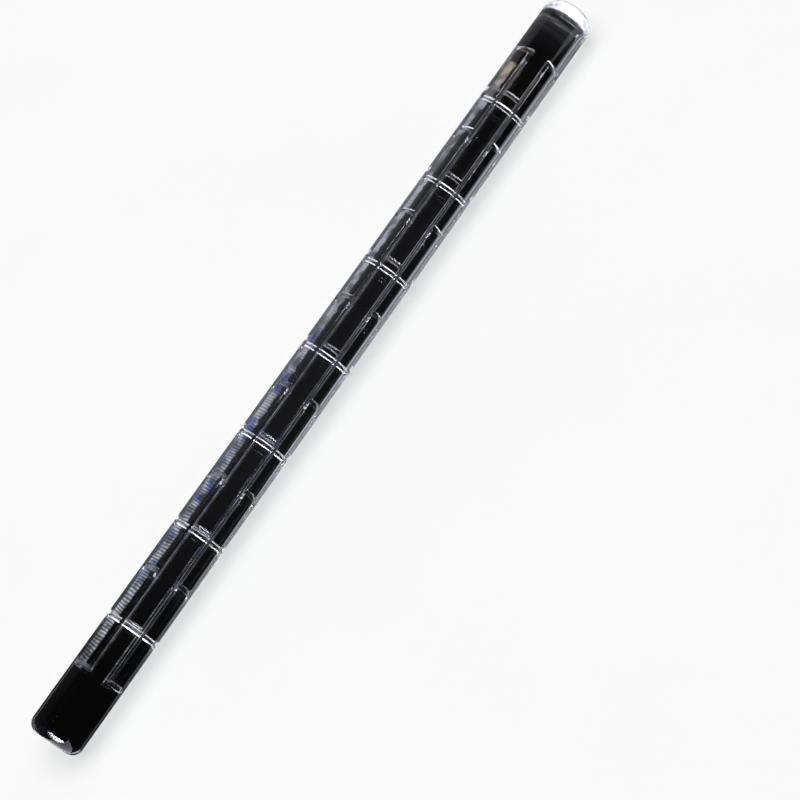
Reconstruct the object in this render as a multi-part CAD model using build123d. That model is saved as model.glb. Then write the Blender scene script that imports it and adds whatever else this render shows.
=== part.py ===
from build123d import *
import os

# Embossed rolling pin: one solid rod of clear acrylic with a running-bond brick pattern.
# Millimetres. The rod lies along X and its centre is the origin. +Z is up.
# The mortar lines of the brickwork are shallow round-bottomed grooves in the rod's surface,
# so dough rolled under it gets raised mortar lines. Both ends are plain, with rounded rims.

# Driving sizes of the rod
rod_diameter = 20.0
rod_length = 330.0
end_round = 4.0          # radius of the polished rim at each end
plain_end = 26.75        # from each end face to the middle of the first cross groove

# Driving sizes of the brick pattern
brick_length = 39.5      # wanted from one cross groove to the next in the same course
courses_round = 8        # courses of bricks around the rod, an even number, so the bond closes
groove_width = 2.0       # across a groove at the rod's surface
groove_depth = 0.8       # of the grooves along the rod
joint_step = 0.05        # how much shallower the cross grooves are than the long ones

rod_radius = rod_diameter / 2
pattern_length = rod_length - 2 * plain_end
course_angle = 360 / courses_round

# Whole bricks fill the pattern between the plain ends, each with an equal share of it
bricks_long = round(pattern_length / brick_length)
brick_pitch = pattern_length / bricks_long


def cutter_radius(depth):
    """Radius of the round cutter that leaves a groove of groove_width and this depth."""
    return (groove_width ** 2 / 4 + depth ** 2) / (2 * depth)


def cutter_path_radius(depth):
    """Distance from the rod's axis to the cutter's centre."""
    return rod_radius - depth + cutter_radius(depth)


def blank_rod():
    """The plain polished rod with its rounded rims."""
    rod = Cylinder(rod_radius, rod_length, rotation=(0, 90, 0))
    rims = rod.edges().filter_by(GeomType.CIRCLE)
    return fillet(rims, end_round)


def long_groove(angle):
    """Cutter for one mortar line along the rod, with ball ends, centred on this angle."""
    radius = cutter_radius(groove_depth)
    reach = cutter_path_radius(groove_depth)
    bar = Cylinder(radius, pattern_length, rotation=(0, 90, 0))
    ends = [Pos(side * pattern_length / 2, 0, 0) * Sphere(radius) for side in (-1, 1)]
    cutter = bar + ends
    return Rot(angle, 0, 0) * Pos(0, 0, reach) * cutter


def cross_groove(x, angle):
    """Cutter for one mortar line across a course: an arc of a ring, centred on this angle."""
    depth = groove_depth - joint_step
    path_radius = cutter_path_radius(depth)
    arc = Torus(path_radius, cutter_radius(depth), major_angle=course_angle, align=None)
    arc = Rot(0, 0, -course_angle / 2) * arc
    upright = Rot(0, -90, 0) * arc
    return Pos(x, 0, 0) * Rot(angle, 0, 0) * upright


def course_joints(course):
    """Where the cross grooves of this course are, along the rod.

    Every second course has closed ends. The courses between are shifted by half a brick,
    and their outer half bricks run out into the plain ends."""
    closed = course % 2 == 0
    count = bricks_long + 1 if closed else bricks_long
    first = -(count - 1) / 2
    return [(first + step) * brick_pitch for step in range(count)]


def rolling_pin():
    """The whole pin, which is one piece."""
    cutters = []
    for course in range(courses_round):
        middle = course * course_angle
        cutters.append(long_groove(middle + course_angle / 2))
        cutters += [cross_groove(x, middle) for x in course_joints(course)]
    return blank_rod() - cutters


os.makedirs("parts", exist_ok=True)

pin = rolling_pin()
print("bricks", bricks_long, "of", brick_pitch, "in", pattern_length, "volume", round(pin.volume))
export_step(pin, "parts/embossed_rod.step")
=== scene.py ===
# %% [markdown]
# # A clear rolling pin with a brick pattern
# This lesson builds one solid rod of clear acrylic, 330 mm long and 20 mm across. Shallow
# grooves cut into it follow the mortar lines of a running-bond brick wall. Rolled over soft
# dough, the bricks press down and the mortar lines stay standing.
# The CAD model gives every size. Blender adds what a clear rod needs: a very smooth surface
# for the light to bend through, a real acrylic material, and a stage that shows it well.

# %% Load the CAD model as a fixed frame
import math

import bpy
from mathutils import Matrix, Vector


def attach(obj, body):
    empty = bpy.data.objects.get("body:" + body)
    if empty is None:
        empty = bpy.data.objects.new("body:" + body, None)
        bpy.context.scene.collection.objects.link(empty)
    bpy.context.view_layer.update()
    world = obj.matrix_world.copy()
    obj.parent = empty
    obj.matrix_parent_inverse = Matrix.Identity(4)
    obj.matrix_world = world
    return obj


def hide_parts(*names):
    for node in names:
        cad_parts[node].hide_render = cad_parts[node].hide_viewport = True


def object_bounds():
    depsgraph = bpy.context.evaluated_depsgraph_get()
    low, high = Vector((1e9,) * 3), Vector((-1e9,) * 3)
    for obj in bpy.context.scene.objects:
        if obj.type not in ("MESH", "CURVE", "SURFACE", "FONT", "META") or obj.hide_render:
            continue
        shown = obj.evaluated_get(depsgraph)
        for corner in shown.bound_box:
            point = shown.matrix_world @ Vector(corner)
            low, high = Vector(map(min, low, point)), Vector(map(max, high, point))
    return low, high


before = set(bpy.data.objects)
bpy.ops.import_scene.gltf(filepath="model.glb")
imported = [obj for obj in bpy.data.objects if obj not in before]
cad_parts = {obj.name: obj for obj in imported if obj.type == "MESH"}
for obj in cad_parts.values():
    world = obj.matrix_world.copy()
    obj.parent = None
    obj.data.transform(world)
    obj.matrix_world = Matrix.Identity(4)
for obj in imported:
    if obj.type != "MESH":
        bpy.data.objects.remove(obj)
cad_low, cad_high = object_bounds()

print("CAD box", [round(v, 4) for v in cad_low], [round(v, 4) for v in cad_high])

# %% [markdown]
# ## The sizes
# The rod lies along X and its centre is the origin. The CAD box gives the length and the
# diameter. The brick sizes repeat the named sizes of the CAD model, in metres, so that every
# groove of the smooth skin lies where the solid has it.

# %% The rod's sizes, in metres
MM = 0.001
half_length = cad_high.x
rod_radius = cad_high.z
rim_radius = 4.0 * MM
brick_pitch = 39.5 * MM
bricks_long = 7
courses_round = 8
groove_width = 2.0 * MM
long_depth = 0.8 * MM
cross_depth = 0.75 * MM
half_pattern = bricks_long * brick_pitch / 2
course_angle = 2 * math.pi / courses_round
print("length", round(2 * half_length, 4), "radius", round(rod_radius, 4))

# %% [markdown]
# ## The camera comes first
# The photograph looks down at the rod from about 45 degrees, from one side and a little
# behind its near end, with the camera turned so that the rod runs up the picture. A long
# lens keeps the sides nearly parallel. The place, aim and roll below come from fitting the
# cross grooves and both outlines of the real rod, so the camera is set before any looks.

# %% Place the camera
camera_place = Vector((-0.16806, -0.44703, 0.43929))
camera_aim = Vector((-0.00628, -0.04132, 0.0))
camera_roll = math.radians(-39.422)
camera_lens = 81.56
camera_sensor = 36.0

camera_data = bpy.data.cameras.new("camera")
camera_data.lens = camera_lens
camera_data.sensor_width = camera_sensor
camera = bpy.data.objects.new("camera", camera_data)
bpy.context.scene.collection.objects.link(camera)
looking = (camera_aim - camera_place).to_track_quat("-Z", "Y").to_matrix().to_4x4()
rolled = looking @ Matrix.Rotation(camera_roll, 4, "Z")
camera.matrix_world = Matrix.Translation(camera_place) @ rolled
bpy.context.scene.camera = camera
print("camera", round((camera_aim - camera_place).length, 3), "m from what it looks at")

# %% [markdown]
# ## The shape of one groove
# A round cutter leaves a groove whose section is part of a circle. Polishing takes the
# razor edge off its two lips, so they are slightly rounded here. That is a guess, because the
# photograph doesn't show it. Inside the groove the depth follows the circle, outside it falls
# away in a straight line, and a smooth maximum with zero rounds the corner between them.

# %% Depth of a groove at a distance from its centre line
lip_softness = 0.22 * MM


def smooth_top(depth, softness):
    """The larger of depth and zero, with the corner between them rounded."""
    if depth <= -softness:
        return 0.0
    if depth >= softness:
        return depth
    return (depth + softness) ** 2 / (4 * softness)


def groove_depth(across, deepest):
    """Depth below the rod's surface, at this distance across the groove."""
    cutter = (groove_width ** 2 / 4 + deepest ** 2) / (2 * deepest)
    half = groove_width / 2
    if across <= half:
        return math.sqrt(cutter ** 2 - across ** 2) - (cutter - deepest)
    wall_slope = half / math.sqrt(cutter ** 2 - half ** 2)
    return -wall_slope * (across - half)


print("depth at the middle", round(groove_depth(0.0, long_depth) / MM, 3), "mm")

# %% [markdown]
# ## Where the grooves run
# Eight long grooves, one between each two courses, stop in ball ends at the last cross
# grooves. Every second course has a cross groove at both of its ends. The courses between
# are shifted by half a brick. Distances are measured on the rod's surface.

# %% Depth of the pattern anywhere on the rod
def long_offset(angle):
    """Distance round the surface to the nearest long groove."""
    turned = (angle + course_angle / 2) % course_angle
    return min(turned, course_angle - turned) * rod_radius


def course_at(angle):
    """Number of the course that this angle is in."""
    return int((angle + course_angle / 2) // course_angle) % courses_round


def cross_offset(x, course):
    """Distance along the rod to the nearest cross groove of this course."""
    shift = 0.5 if course % 2 == 0 else 0.0
    last = bricks_long / 2 if course % 2 == 0 else (bricks_long - 1) / 2
    place = x / brick_pitch
    nearest = round(place - shift) + shift
    nearest = max(-last, min(last, nearest))
    return abs(place - nearest) * brick_pitch


def pattern_depth(x, angle):
    """Depth of the grooves below the rod's surface, at a place and an angle round the rod."""
    past_end = max(abs(x) - half_pattern, 0.0)
    across_long = math.hypot(long_offset(angle), past_end)
    across_cross = cross_offset(x, course_at(angle))
    deepest = max(groove_depth(across_long, long_depth),
                  groove_depth(across_cross, cross_depth))
    return smooth_top(deepest, lip_softness)


print("closed course ends at", round(half_pattern / MM, 2), "mm, depth there",
      round(pattern_depth(half_pattern, 0.0) / MM, 3), "mm")

# %% [markdown]
# ## One skin over the whole rod
# Clear plastic shows every flat facet as a streak, so the CAD solid's own triangles are too
# coarse here. A subdivision surface would round the grooves off. A grid of points, each at
# the radius that the depth formula gives, stays exact, and it can be dense only where the
# surface bends: across the grooves and round the rims.

# %% Stations across one groove, closer together where the wall is steep
arc_steps = 7
lip_places = (0.025 * MM, 0.06 * MM, 0.12 * MM, 0.25 * MM)    # outwards from the groove's edge


def groove_stations():
    """Distances from a groove's centre line to its points, on one side."""
    cutter = (groove_width ** 2 / 4 + long_depth ** 2) / (2 * long_depth)
    steepest = math.asin(groove_width / 2 / cutter)
    inside = [cutter * math.sin(steepest * k / arc_steps) for k in range(arc_steps + 1)]
    lips = [groove_width / 2 + past for past in lip_places]
    return inside + lips


stations = groove_stations()
print(len(stations), "points on each side of a groove")

# %% Angles round the rod and places along it
flat_round = 7     # spaces across the flat of a brick, round the rod
flat_long = 3      # spaces along it, from one cross groove to the next


def between(first, last, count):
    """Points between two values, without the two values themselves."""
    return [first + (last - first) * k / count for k in range(1, count)]


angles = []
for line in range(courses_round):
    middle = (line + 0.5) * course_angle
    spread = [s / rod_radius for s in stations]
    angles += [middle - a for a in reversed(spread[1:])] + [middle + a for a in spread]
    angles += between(angles[-1], middle + course_angle - spread[-1], flat_round)

cross_places = [k * brick_pitch / 2 for k in range(-bricks_long, bricks_long + 1)]
alongs = []
for place in cross_places:
    if alongs:
        alongs += between(alongs[-1], place - stations[-1], flat_long)
    alongs += [place - s for s in reversed(stations[1:])] + [place + s for s in stations]
plain_start = half_length - rim_radius
outer = between(alongs[-1], plain_start, flat_long)
alongs = [-x for x in reversed(outer)] + alongs + outer
print(len(angles), "angles,", len(alongs), "places along the rod")

# %% Build the skin: end faces, rims and patterned wall in one closed mesh
rim_steps = 14
face_rings = 5


def end_profile(side):
    """Rings from the middle of an end face out over its rim: (place along X, radius)."""
    face_radius = rod_radius - rim_radius
    rings = [(half_length, face_radius * k / face_rings) for k in range(1, face_rings + 1)]
    for k in range(1, rim_steps + 1):
        turn = math.pi / 2 * k / rim_steps
        rings.append((plain_start + rim_radius * math.cos(turn),
                      face_radius + rim_radius * math.sin(turn)))
    return [(side * x, radius) for x, radius in rings]


def skin_rings():
    """Every ring of the skin, from one end face to the other, as lists of points."""
    near = [(x, radius, False) for x, radius in end_profile(-1)]
    wall = [(x, rod_radius, True) for x in alongs]
    far = [(x, radius, False) for x, radius in reversed(end_profile(1))]
    rings = []
    for x, radius, patterned in near + wall + far:
        ring = []
        for angle in angles:
            r = radius - (pattern_depth(x, angle) if patterned else 0.0)
            ring.append((x, -r * math.sin(angle), r * math.cos(angle)))
        rings.append(ring)
    return rings


def build_skin(name):
    """The closed mesh: faces between the rings, and a fan of triangles over each end."""
    rings = skin_rings()
    count = len(angles)
    points = [point for ring in rings for point in ring]
    faces = []
    for ring in range(len(rings) - 1):
        for a in range(count):
            b = (a + 1) % count
            low, high = ring * count, (ring + 1) * count
            faces.append((low + a, low + b, high + b, high + a))
    near_middle, far_middle = len(points), len(points) + 1
    points += [(-half_length, 0.0, 0.0), (half_length, 0.0, 0.0)]
    last = (len(rings) - 1) * count
    for a in range(count):
        b = (a + 1) % count
        faces.append((near_middle, b, a))
        faces.append((far_middle, last + a, last + b))
    mesh = bpy.data.meshes.new(name)
    mesh.from_pydata(points, [], faces)
    mesh.validate()
    mesh.polygons.foreach_set("use_smooth", [True] * len(mesh.polygons))
    mesh.update()
    skin = bpy.data.objects.new(name, mesh)
    bpy.context.scene.collection.objects.link(skin)
    return skin


rod = build_skin("embossed_rod_skin")
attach(rod, "root")
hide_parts("embossed_rod")
print("skin with", len(rod.data.vertices), "points and", len(rod.data.polygons), "faces")

# %% [markdown]
# ## Helpers for materials
# Every finish below is a small graph of nodes. A few helpers keep them short: one sets or
# wires a socket, two do sums, one makes a smooth step between two values, and one tells
# where on its piece a point is.

# %% Wire, calculate, step
def feed(tree, socket, value):
    """Wire a socket to another node's output, or set it to a plain value."""
    if isinstance(value, bpy.types.NodeSocket):
        tree.links.new(value, socket)
    else:
        socket.default_value = value


def calculate(tree, operation, first, second=0.0):
    """One sum on one or two values."""
    node = tree.nodes.new("ShaderNodeMath")
    node.operation = operation
    feed(tree, node.inputs[0], first)
    feed(tree, node.inputs[1], second)
    return node.outputs["Value"]


def multiply(tree, first, *others):
    """The product of two or more values."""
    for other in others:
        first = calculate(tree, "MULTIPLY", first, other)
    return first


def step(tree, value, start, stop, low=0.0, high=1.0):
    """A smooth change from low, where value is start, to high, where it is stop."""
    node = tree.nodes.new("ShaderNodeMapRange")
    node.interpolation_type = "SMOOTHSTEP"
    for name, setting in (("Value", value), ("From Min", start), ("From Max", stop),
                          ("To Min", low), ("To Max", high)):
        feed(tree, node.inputs[name], setting)
    return node.outputs["Result"]


# %% Where on the piece a point is
def object_place(tree):
    """The point in the piece's own metres, whole and split into X, Y and Z."""
    place = tree.nodes.new("ShaderNodeTexCoord").outputs["Object"]
    split = tree.nodes.new("ShaderNodeSeparateXYZ")
    tree.links.new(place, split.inputs["Vector"])
    return place, split.outputs["X"], split.outputs["Y"], split.outputs["Z"]


# %% [markdown]
# ## One group for every kind of grain
# Tool marks, polishing streaks, the floor's fine tooth and patches of light are all the same
# thing: noise, often stretched more one way than the other, and cut to a range. One node
# group makes them all and puts out a plain mask from 0 to 1. The stretch is roughly in
# features per metre.

# %% The stretched grain group
grain_group = bpy.data.node_groups.new("stretched_grain", "ShaderNodeTree")
for socket_name, socket_kind in (("Place", "NodeSocketVector"), ("Stretch", "NodeSocketVector"),
                                 ("Shift", "NodeSocketVector"), ("Detail", "NodeSocketFloat"),
                                 ("Low", "NodeSocketFloat"), ("High", "NodeSocketFloat")):
    grain_group.interface.new_socket(name=socket_name, in_out="INPUT", socket_type=socket_kind)
grain_group.interface.new_socket(name="Mask", in_out="OUTPUT", socket_type="NodeSocketFloat")
group_in = grain_group.nodes.new("NodeGroupInput")
group_out = grain_group.nodes.new("NodeGroupOutput")
stretched = grain_group.nodes.new("ShaderNodeVectorMath")
stretched.operation = "MULTIPLY_ADD"
for socket, source in zip(stretched.inputs, ("Place", "Stretch", "Shift")):
    grain_group.links.new(group_in.outputs[source], socket)
noise = grain_group.nodes.new("ShaderNodeTexNoise")
noise.inputs["Scale"].default_value = 1.0
grain_group.links.new(stretched.outputs["Vector"], noise.inputs["Vector"])
grain_group.links.new(group_in.outputs["Detail"], noise.inputs["Detail"])
cut = step(grain_group, noise.outputs["Fac"], group_in.outputs["Low"], group_in.outputs["High"])
grain_group.links.new(cut, group_out.inputs["Mask"])


def grain(tree, place, stretch, shift, detail=2.0, low=0.0, high=1.0):
    """One use of the grain group."""
    node = tree.nodes.new("ShaderNodeGroup")
    node.node_tree = grain_group
    for name, value in (("Place", place), ("Stretch", stretch), ("Shift", (shift, shift, shift)),
                        ("Detail", detail), ("Low", low), ("High", high)):
        feed(tree, node.inputs[name], value)
    return node.outputs["Mask"]


# %% [markdown]
# ## Clear acrylic
# Cast acrylic bends light a little less than glass: its refractive index is 1.49. The wall
# and the rims are polished, the grooves keep the fine frosting of the cutter. The material
# tells them apart by the distance from the rod's axis: a point below the wall, between the
# first and the last cross groove, is in a groove. A cutter also leaves faint marks, and a
# polished wall has very shallow streaks along the rod, so both get a little bump.

# %% Where the grooves are
acrylic = bpy.data.materials.new("clear_acrylic")
acrylic.use_nodes = True
acrylic_tree = acrylic.node_tree
acrylic_shader = acrylic_tree.nodes["Principled BSDF"]
place, x, y, z = object_place(acrylic_tree)
axis_square = calculate(acrylic_tree, "ADD", multiply(acrylic_tree, y, y),
                        multiply(acrylic_tree, z, z))
from_axis = calculate(acrylic_tree, "SQRT", axis_square)
skin_depth, full_depth = 0.01 * MM, 0.08 * MM
below_wall = step(acrylic_tree, from_axis, rod_radius - skin_depth, rod_radius - full_depth)
end_margin = 0.3 * MM
pattern_reach = half_pattern + groove_width / 2 + end_margin
on_pattern = calculate(acrylic_tree, "LESS_THAN", calculate(acrylic_tree, "ABSOLUTE", x),
                       pattern_reach)
in_groove = multiply(acrylic_tree, below_wall, on_pattern)

# %% Frosted grooves, tool marks and polishing streaks
long_frost, cross_frost, frost_spread = 0.1, 0.19, 0.3
cross_zone = (1.0 * MM, 1.4 * MM)    # from a cross groove's middle: all cross frost, all long frost
patch_stretch = (260.0, 900.0, 900.0)
mark_stretch = (2600.0, 2600.0, 2600.0)
streak_stretch = (6.0, 900.0, 900.0)
streak_height, mark_height = 0.0002 * MM, 0.0008 * MM

from_joint = calculate(acrylic_tree, "PINGPONG", x, brick_pitch / 4)
even_frost = step(acrylic_tree, from_joint, *cross_zone, cross_frost, long_frost)
frost_patches = grain(acrylic_tree, place, patch_stretch, 3.0, 3.0, 0.35, 0.65)
patchy = step(acrylic_tree, frost_patches, 0.0, 1.0, 1 - frost_spread, 1 + frost_spread)
frost = multiply(acrylic_tree, even_frost, patchy)
feed(acrylic_tree, acrylic_shader.inputs["Roughness"], multiply(acrylic_tree, in_groove, frost))

tool_marks = grain(acrylic_tree, place, mark_stretch, 8.0, 2.0, 0.3, 0.7)
streaks = grain(acrylic_tree, place, streak_stretch, 15.0, 2.0, 0.3, 0.7)
relief = calculate(acrylic_tree, "ADD", multiply(acrylic_tree, streaks, streak_height),
                   multiply(acrylic_tree, tool_marks, mark_height, in_groove))
bump = acrylic_tree.nodes.new("ShaderNodeBump")
bump.inputs["Distance"].default_value = 1.0
feed(acrylic_tree, bump.inputs["Height"], relief)
feed(acrylic_tree, acrylic_shader.inputs["Normal"], bump.outputs["Normal"])

# %% The clear body
acrylic_tint = (0.96, 0.98, 0.985, 1.0)
refractive_index = 1.49
acrylic_shader.inputs["Base Color"].default_value = acrylic_tint
acrylic_shader.inputs["IOR"].default_value = refractive_index
acrylic_shader.inputs["Metallic"].default_value = 0.0
acrylic_shader.inputs["Transmission Weight"].default_value = 1.0
rod.data.materials.append(acrylic)
print("acrylic: polished wall, long grooves frosted", long_frost, "and cross grooves", cross_frost)

# %% [markdown]
# ## The floor
# A plain pale table, as wide as the camera could ever see. It lies just under the rod. The
# shade of the paper-like surface varies by a percent or two and it has a fine tooth, so
# that the rod's soft shadow falls on something real.

# %% A flat sheet
floor_gap = 0.15 * MM
floor_level = cad_low.z - floor_gap
floor_half = 6.0


def stage_sheet(name, rows, material):
    """A stage piece: a sheet of faces through rows of points."""
    width = len(rows[0])
    points = [point for row in rows for point in row]
    faces = [(r * width + c, r * width + c + 1, (r + 1) * width + c + 1, (r + 1) * width + c)
             for r in range(len(rows) - 1) for c in range(width - 1)]
    mesh = bpy.data.meshes.new(name)
    mesh.from_pydata(points, [], faces)
    mesh.update()
    piece = bpy.data.objects.new(name, mesh)
    bpy.context.scene.collection.objects.link(piece)
    piece.data.materials.append(material)
    return piece


# %% Pale floor material
floor_shades = ((0.87, 0.87, 0.875, 1.0), (0.885, 0.885, 0.885, 1.0))
cloud_stretch = (9.0, 9.0, 9.0)
tooth_stretch = (900.0, 900.0, 900.0)
tooth_height = 0.05 * MM
pale_floor = bpy.data.materials.new("pale_floor")
pale_floor.use_nodes = True
floor_tree = pale_floor.node_tree
floor_shader = floor_tree.nodes["Principled BSDF"]
floor_place = object_place(floor_tree)[0]
cloudy = grain(floor_tree, floor_place, cloud_stretch, 2.0, 3.0, 0.2, 0.8)
floor_shade = floor_tree.nodes.new("ShaderNodeMix")
floor_shade.data_type = "RGBA"
feed(floor_tree, floor_shade.inputs["Factor"], cloudy)
feed(floor_tree, floor_shade.inputs["A"], floor_shades[0])
feed(floor_tree, floor_shade.inputs["B"], floor_shades[1])
feed(floor_tree, floor_shader.inputs["Base Color"], floor_shade.outputs["Result"])
floor_shader.inputs["Roughness"].default_value = 0.9
floor_shader.inputs["Specular IOR Level"].default_value = 0.0
tooth = floor_tree.nodes.new("ShaderNodeBump")
tooth.inputs["Distance"].default_value = tooth_height
tooth.inputs["Strength"].default_value = 0.3
feed(floor_tree, tooth.inputs["Height"], grain(floor_tree, floor_place, tooth_stretch, 5.0))
feed(floor_tree, floor_shader.inputs["Normal"], tooth.outputs["Normal"])
floor_rows = [[(x, y, floor_level) for x in (-floor_half, floor_half)]
              for y in (-floor_half, floor_half)]
stage_sheet("floor", floor_rows, pale_floor)

# %% [markdown]
# ## A dark-field stage
# A clear rod has hardly any colour of its own: it shows what lies under and around it. In
# the photograph its bricks look black and its grooves shine, which means that it lies on
# something very dark while light comes along it from both ends. Glass is photographed the
# same way in a studio. Dark cards go where the clear faces look, and bright ones go where
# only the grooves look. The cards here are stage pieces that only light through or off the
# rod can see. The pale floor and the rod's shadow on it stay as they are.

# %% A card that shows only in and through the rod
def card(name, rows, material):
    """A sheet that the camera, soft light and shadows don't see."""
    piece = stage_sheet(name, rows, material)
    piece.visible_camera = False
    piece.visible_diffuse = False
    piece.visible_shadow = False
    return piece


met_floor = 0.5      # a diffuse depth above this means that the light has met the floor


def show_direct(tree, shader, output):
    """Let the card be clear for light that has already met the floor."""
    clear = tree.nodes.new("ShaderNodeBsdfTransparent")
    choose = tree.nodes.new("ShaderNodeMixShader")
    feed(tree, choose.inputs["Fac"],
         calculate(tree, "GREATER_THAN",
                   tree.nodes.new("ShaderNodeLightPath").outputs["Diffuse Depth"], met_floor))
    tree.links.new(shader, choose.inputs[1])
    tree.links.new(clear.outputs["BSDF"], choose.inputs[2])
    tree.links.new(choose.outputs["Shader"], output.inputs["Surface"])


def glow(name, colour, fades, along="X"):
    """A card's own light. The pairs give its strength at places along X or along Y."""
    material = bpy.data.materials.new(name)
    material.use_nodes = True
    tree = material.node_tree
    tree.nodes.clear()
    output = tree.nodes.new("ShaderNodeOutputMaterial")
    shine = tree.nodes.new("ShaderNodeEmission")
    shine.inputs["Color"].default_value = (*colour, 1.0)
    strength = fades[0][1]
    if len(fades) > 1:
        _, x, y, _ = object_place(tree)
        place = x if along == "X" else y
        for (start, _), (stop, reached) in zip(fades, fades[1:]):
            strength = step(tree, place, start, stop, strength, reached)
    feed(tree, shine.inputs["Strength"], strength)
    show_direct(tree, shine.outputs["Emission"], output)
    return material


# %% [markdown]
# ## Light that gathers behind the rod
# The rod works as a lens. It gathers the light from above in a strip on the sheet right
# behind it, and the grooves break the strip into ribs and patches. In the photograph this
# strip shows through the upper course of bricks, and only there. A path tracer finds such
# light very slowly, so the strip is part of the dark sheet's material: a band with a ragged
# edge, as long as the pattern, with ribs, blotches and a little blue or warm colour.

# %% The shape of the strip on the dark sheet
dark_sheet = bpy.data.materials.new("dark_sheet")
dark_sheet.use_nodes = True
sheet_tree = dark_sheet.node_tree
sheet_tree.nodes.clear()
sheet_place, sheet_x, sheet_y, _ = object_place(sheet_tree)
# The strip's far side is a ragged line. It moves in from near_line to far_line, then out again.
near_line, far_line, warm_line = 10.0 * MM, 8.95 * MM, 9.4 * MM
strip_limit = 9.93 * MM
ragged = 0.9 * MM
line_fade = (0.06 * MM, -0.14 * MM)
strip_start = (7.2 * MM, 7.9 * MM)
strip_half, end_fade = half_pattern + 0.75 * MM, 0.3 * MM
moving_in, moving_out = (-0.07, 0.09), (0.112, 0.120)      # places along X
teeth_stretch = (330.0, 0.0, 0.0)

line_place = step(sheet_tree, sheet_x, *moving_in, near_line, far_line)
line_place = step(sheet_tree, sheet_x, *moving_out, line_place, warm_line)
teeth = grain(sheet_tree, sheet_place, teeth_stretch, 3.0, 3.0)
tooth_shift = multiply(sheet_tree, calculate(sheet_tree, "SUBTRACT", teeth, 0.5), ragged)
ragged_line = calculate(sheet_tree, "ADD", line_place, tooth_shift)
ragged_line = calculate(sheet_tree, "MINIMUM", ragged_line, strip_limit)
past_line = calculate(sheet_tree, "SUBTRACT", sheet_y, ragged_line)
before_line = step(sheet_tree, past_line, *line_fade)
after_start = step(sheet_tree, sheet_y, *strip_start)
between_ends = step(sheet_tree, calculate(sheet_tree, "ABSOLUTE", sheet_x),
                    strip_half + end_fade, strip_half - end_fade)
strip = multiply(sheet_tree, before_line, after_start, between_ends)

# %% Ribs and blotches of light in the strip
rib_pitch = 1.18 * MM
rib_wander = 14.0                # radians
weak_ribs, strong_ribs = 0.2, 0.75
strengthening = (0.03, -0.09)    # places along X
wander_stretch, blotch_stretch = (60.0, 120.0, 0.0), (190.0, 420.0, 0.0)
dim_blotch, bright_blotch = 0.3, 1.6
strip_level = 0.27

wander = grain(sheet_tree, sheet_place, wander_stretch, 11.0)
rib_turn = calculate(sheet_tree, "ADD", multiply(sheet_tree, sheet_x, 2 * math.pi / rib_pitch),
                     multiply(sheet_tree, wander, rib_wander))
rib_strength = step(sheet_tree, sheet_x, *strengthening, weak_ribs, strong_ribs)
ribs = multiply(sheet_tree, calculate(sheet_tree, "SINE", rib_turn), rib_strength)
rib_light = calculate(sheet_tree, "ADD", ribs, 1.0)
blotch_grain = grain(sheet_tree, sheet_place, blotch_stretch, 7.0, 3.0, 0.3, 0.7)
blotches = step(sheet_tree, blotch_grain, 0.0, 1.0, dim_blotch, bright_blotch)
strip_light = multiply(sheet_tree, strip, rib_light, blotches, strip_level)

# %% Blue patches near the middle, a warm end far away
blue_stretch = (95.0, 330.0, 0.0)
blue_begins, blue_ends, warm_begins = (-0.120, -0.085), (0.03, 0.0), (0.120, 0.136)    # along X
cool_colour, blue_colour = (0.82, 0.85, 1.0, 1.0), (0.10, 0.17, 0.62, 1.0)
warm_colour = (1.0, 0.80, 0.55, 1.0)

blue_patches = grain(sheet_tree, sheet_place, blue_stretch, 23.0, 2.0, 0.47, 0.60)
near_middle = multiply(sheet_tree, step(sheet_tree, sheet_x, *blue_begins),
                       step(sheet_tree, sheet_x, *blue_ends))
blued = sheet_tree.nodes.new("ShaderNodeMix")
warmed = sheet_tree.nodes.new("ShaderNodeMix")
blued.data_type = warmed.data_type = "RGBA"
feed(sheet_tree, blued.inputs["Factor"], multiply(sheet_tree, blue_patches, near_middle))
feed(sheet_tree, blued.inputs["A"], cool_colour)
feed(sheet_tree, blued.inputs["B"], blue_colour)
feed(sheet_tree, warmed.inputs["Factor"], step(sheet_tree, sheet_x, *warm_begins))
feed(sheet_tree, warmed.inputs["A"], blued.outputs["Result"])
feed(sheet_tree, warmed.inputs["B"], warm_colour)

# %% Add the strip to the sheet's own faint light, which is brighter by the far end
strip_shine = sheet_tree.nodes.new("ShaderNodeEmission")
feed(sheet_tree, strip_shine.inputs["Color"], warmed.outputs["Result"])
feed(sheet_tree, strip_shine.inputs["Strength"], strip_light)
sheet_faint, fringe_level = 0.0022, 0.022
sheet_colour = (0.9, 0.92, 1.0, 1.0)
fringe_begins = (0.149, 0.163)
fringe_stretch = (900.0, 60.0, 0.0)
streak_grain = grain(sheet_tree, sheet_place, fringe_stretch, 5.0, 2.0, 0.3, 0.7)
streaky = step(sheet_tree, streak_grain, 0.0, 1.0, 0.3, 1.0)
by_far_end = step(sheet_tree, sheet_x, *fringe_begins)
fringe = multiply(sheet_tree, by_far_end, streaky, fringe_level)
sheet_glow = calculate(sheet_tree, "ADD", fringe, sheet_faint)
sheet_shine = sheet_tree.nodes.new("ShaderNodeEmission")
sheet_shine.inputs["Color"].default_value = sheet_colour
feed(sheet_tree, sheet_shine.inputs["Strength"], sheet_glow)
both = sheet_tree.nodes.new("ShaderNodeAddShader")
sheet_tree.links.new(strip_shine.outputs["Emission"], both.inputs[0])
sheet_tree.links.new(sheet_shine.outputs["Emission"], both.inputs[1])
sheet_output = sheet_tree.nodes.new("ShaderNodeOutputMaterial")
show_direct(sheet_tree, both.outputs["Shader"], sheet_output)

# %% [markdown]
# ## Where the dark sheet ends
# Just inside the lower outline of the rod a grey band begins. It is the far edge of what
# the rod lies on, seen through the rod. A line of sight leaves the rod there almost level
# and rises or falls a little with its place along the rod, so the sheet's far edge follows
# it: low and close near the far end, and curled up to meet the horizon near the close end.

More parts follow.
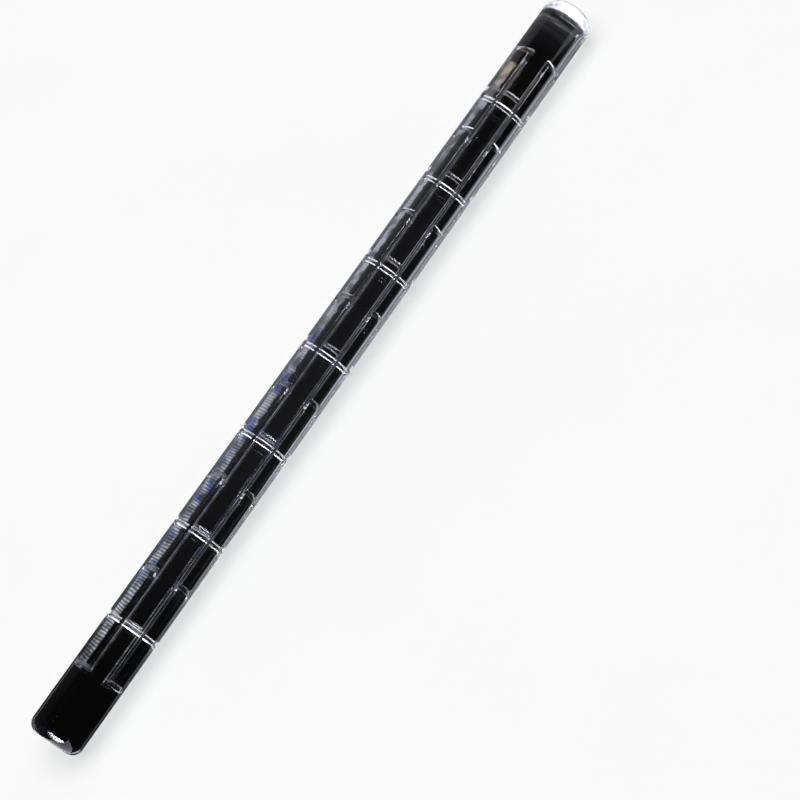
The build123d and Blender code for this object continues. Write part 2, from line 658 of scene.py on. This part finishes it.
# %% The far edge of the sheet
sheet_level = floor_level + 0.05 * MM
leave_y, leave_z = 5.8 * MM, -8.2 * MM    # where those lines of sight leave the rod
edge_reach = 43 * MM
seen_ahead = 8 * MM
# Place along X, and how many degrees the line of sight rises there
edge_rises = [(-0.140, 9.0), (-0.068, 2.2), (0.0, -4.0),
              (0.045, -6.2), (0.105, -6.6), (0.155, -6.8)]


def edge_rise(x):
    """How steeply the line of sight rises, in radians, for the sheet's edge at this X."""
    seen = min(max(x - seen_ahead, edge_rises[0][0]), edge_rises[-1][0])
    for (x0, rise0), (x1, rise1) in zip(edge_rises, edge_rises[1:]):
        if seen <= x1:
            return math.radians(rise0 + (rise1 - rise0) * (seen - x0) / (x1 - x0))


def far_edge(x):
    """Y and Z of the sheet's far edge at this X."""
    rise = edge_rise(x)
    run = edge_reach
    if rise < 0:
        run = min(run, (leave_z - sheet_level) / math.tan(-rise))
    return leave_y + run, max(sheet_level, leave_z + run * math.tan(rise))


# %% The dark sheet
sheet_near, sheet_far = -0.5, 0.1655
sheet_front = -0.42
flat_until = 10 * MM
sheet_steps, curl_steps = 60, 6
curl_power = 3
sheet_rows = []
for i in range(sheet_steps + 1):
    row_x = sheet_near + (sheet_far - sheet_near) * i / sheet_steps
    edge_y, edge_z = far_edge(row_x)
    row = [(row_x, row_y, sheet_level) for row_y in (sheet_front, 0.0, flat_until)]
    for j in range(1, curl_steps + 1):
        share = j / curl_steps
        row.append((row_x, flat_until + (edge_y - flat_until) * share,
                    sheet_level + (edge_z - sheet_level) * share ** curl_power))
    sheet_rows.append(row)
card("dark_sheet", sheet_rows, dark_sheet)

# %% [markdown]
# ## Cards around the rod
# Polished walls mirror a ring of the room around the rod, so that ring is dark or grey. It
# is made of long cards bent around the rod. Each goes from one height to another, measured
# in degrees from the far horizon over the top to the near one. The high card on the far side
# is the brightest, and the lips of the long grooves catch it as thin pale lines. Most of them
# are much dimmer by the near end, because the plain end of the rod there looks black.

# %% A card bent around the rod
ring_radius = 0.42
ring_step = 5


def ring_rows(from_angle, to_angle, near_x, far_x):
    """The two long edges' points of such a card."""
    count = max(1, round(abs(to_angle - from_angle) / ring_step))
    turns = [math.radians(from_angle + (to_angle - from_angle) * k / count)
             for k in range(count + 1)]
    return [[(x, ring_radius * math.cos(t), ring_radius * math.sin(t)) for t in turns]
            for x in (near_x, far_x)]


cool_white, plain_white = (0.88, 0.88, 1.0), (0.90, 0.90, 1.0)
ring_near, ring_far = -0.5, 0.7
ring_cards = [
    # name, from and to angle, colour, and strength at places along X
    ("far_side_low_card", 0, 8, cool_white,
     ((-0.17, 0.30), (0.0, 0.40), (0.10, 0.26), (0.17, 0.20))),
    ("far_side_high_card", 8, 60, cool_white,
     ((-0.15, 0.05), (0.05, 0.75), (0.31, 0.75), (0.36, 0.30))),
    ("overhead_card", 60, 90, plain_white,
     ((-0.10, 0.01), (-0.01, 0.36), (0.30, 0.36), (0.34, 0.02))),
    ("overhead_flag", 90, 150, plain_white,
     ((-0.13, 0.004), (0.05, 0.10), (0.20, 0.08), (0.30, 0.02))),
    ("near_side_card", 150, 182, plain_white,
     ((-0.12, 0.004), (0.10, 0.12), (0.28, 0.12), (0.34, 0.03))),
]
for name, from_angle, to_angle, colour, fades in ring_cards:
    card(name, ring_rows(from_angle, to_angle, ring_near, ring_far), glow(name, colour, fades))

# %% Glowing cards as the grey table beyond the sheet and a bright one before the near end: painted light
ground_gap = 0.04 * MM
grey_level, bright_level = sheet_level - ground_gap, sheet_level + ground_gap
grey_columns = 8
grey_far, grey_slant, grey_end = 0.165, 0.9, 0.25
straight_part = 16 * MM
grey_rows = []
for ground_y in (0.0, straight_part, grey_end):
    end_x = grey_far + grey_slant * max(ground_y - straight_part, 0.0)
    grey_rows.append([(sheet_near + (end_x - sheet_near) * k / grey_columns, ground_y, grey_level)
                      for k in range(grey_columns + 1)])
# The table's grey is painted light: the card glows, brighter in the middle than at either end.
card("grey_ground_glow", grey_rows, glow("grey_ground_glow", cool_white,
                                    ((-0.15, 0.10), (0.02, 0.24), (0.17, 0.18))))
bright_x, bright_y, bright_strength = (-0.6, -0.170), (-0.3, 0.05), 2.0
near_ground_rows = [[(ground_x, ground_y, bright_level) for ground_x in bright_x]
                    for ground_y in bright_y]
card("near_ground", near_ground_rows, glow("near_ground", cool_white, ((0.0, bright_strength),)))

# %% [markdown]
# ## Bright cards past both ends
# Light that comes in through an end face travels along the rod, mirrored by its wall from
# the inside, and can only get out where a cross groove turns it. That makes the white lines
# across the bricks, and the glints where grooves meet. The near card is the stronger one. It
# fades to dark towards the far side, which keeps most of the rounded near rim black.

# %% The end cards
end_white = (0.86, 0.86, 1.0)
end_cards = [
    # name, place along X, half its width, its top, and its strength at places along Y
    ("near_end_card", -0.55, 0.7, 0.5, ((-0.22, 30.0), (0.04, 0.01))),
    ("far_end_card", 0.8, 0.45, 0.45, ((0.0, 4.0),)),
]
for name, card_x, half_width, top_z, fades in end_cards:
    rows = [[(card_x, card_y, height) for card_y in (-half_width, half_width)]
            for height in (floor_level, top_z)]
    card(name, rows, glow(name, end_white, fades, along="Y"))

# %% [markdown]
# ## Light
# One very soft sun lamp, 70 degrees across, and an even white world light the floor and
# the rod at a plain level. Cycles gives up after a few bounces unless told otherwise, and
# light inside a long rod is mirrored dozens of times, so the limits go up.

# %% World
world = bpy.data.worlds.new("studio")
bpy.context.scene.world = world
world.use_nodes = True
world_tree = world.node_tree
background = world_tree.nodes["Background"]
background.inputs["Color"].default_value = (1.0, 1.0, 1.0, 1.0)
path = world_tree.nodes.new("ShaderNodeLightPath")
mirrored = calculate(world_tree, "MAXIMUM", path.outputs["Is Glossy Ray"],
                     path.outputs["Is Transmission Ray"])
looked_at = calculate(world_tree, "MAXIMUM", path.outputs["Is Camera Ray"], mirrored)
ambient, seen_white = 0.6, 1.0
feed(world_tree, background.inputs["Strength"],
     step(world_tree, looked_at, 0.0, 1.0, ambient, seen_white))

# %% Lamp and bounces
lamp_place = (0.1, -0.3, 2.2)
lamp_spread = 70                 # degrees
lamp_strength = 1.55
lamp_data = bpy.data.lights.new("overhead", "SUN")
lamp_data.angle = math.radians(lamp_spread)
lamp_data.energy = lamp_strength
lamp = bpy.data.objects.new("overhead", lamp_data)
lamp.location = lamp_place
lamp.rotation_euler = (-lamp.location).to_track_quat("-Z", "Y").to_euler()
bpy.context.scene.collection.objects.link(lamp)

bounces = 64
for limit in ("max_bounces", "glossy_bounces", "transmission_bounces"):
    setattr(bpy.context.scene.cycles, limit, bounces)
bpy.context.scene.view_settings.view_transform = "Standard"
